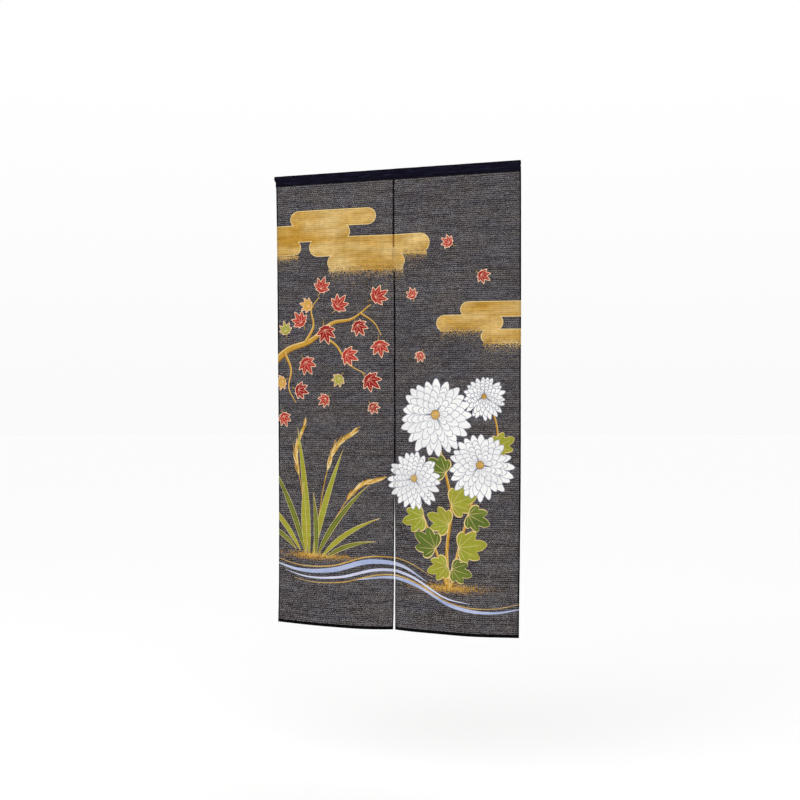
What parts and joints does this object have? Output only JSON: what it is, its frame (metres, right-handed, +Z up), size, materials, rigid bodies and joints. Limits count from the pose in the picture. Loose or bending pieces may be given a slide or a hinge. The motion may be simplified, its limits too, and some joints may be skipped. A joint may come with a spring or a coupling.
{
  "type": "noren curtain",
  "caption": "Sheer split doorway curtain with an opaque rod sleeve along its top edge and hemmed panels that hang below it, parted by a slit.",
  "frame": {"origin": "middle of the sleeve's top edge, where the curtain hangs", "axes": "+Z up, X along the curtain's width with +X to the right seen from the front, front faces -Y"},
  "size_m": [0.8557, 0.0408, 1.5],
  "materials": {
    "sleeve_cloth": "opaque near-black navy plain weave",
    "panel_cloth": "sheer charcoal slub weave with a printed design"
  },
  "bodies": {
    "root": {"sleeve": "sleeve_cloth", "left_panel": "panel_cloth", "right_panel": "panel_cloth"}
  },
  "joints": []
}
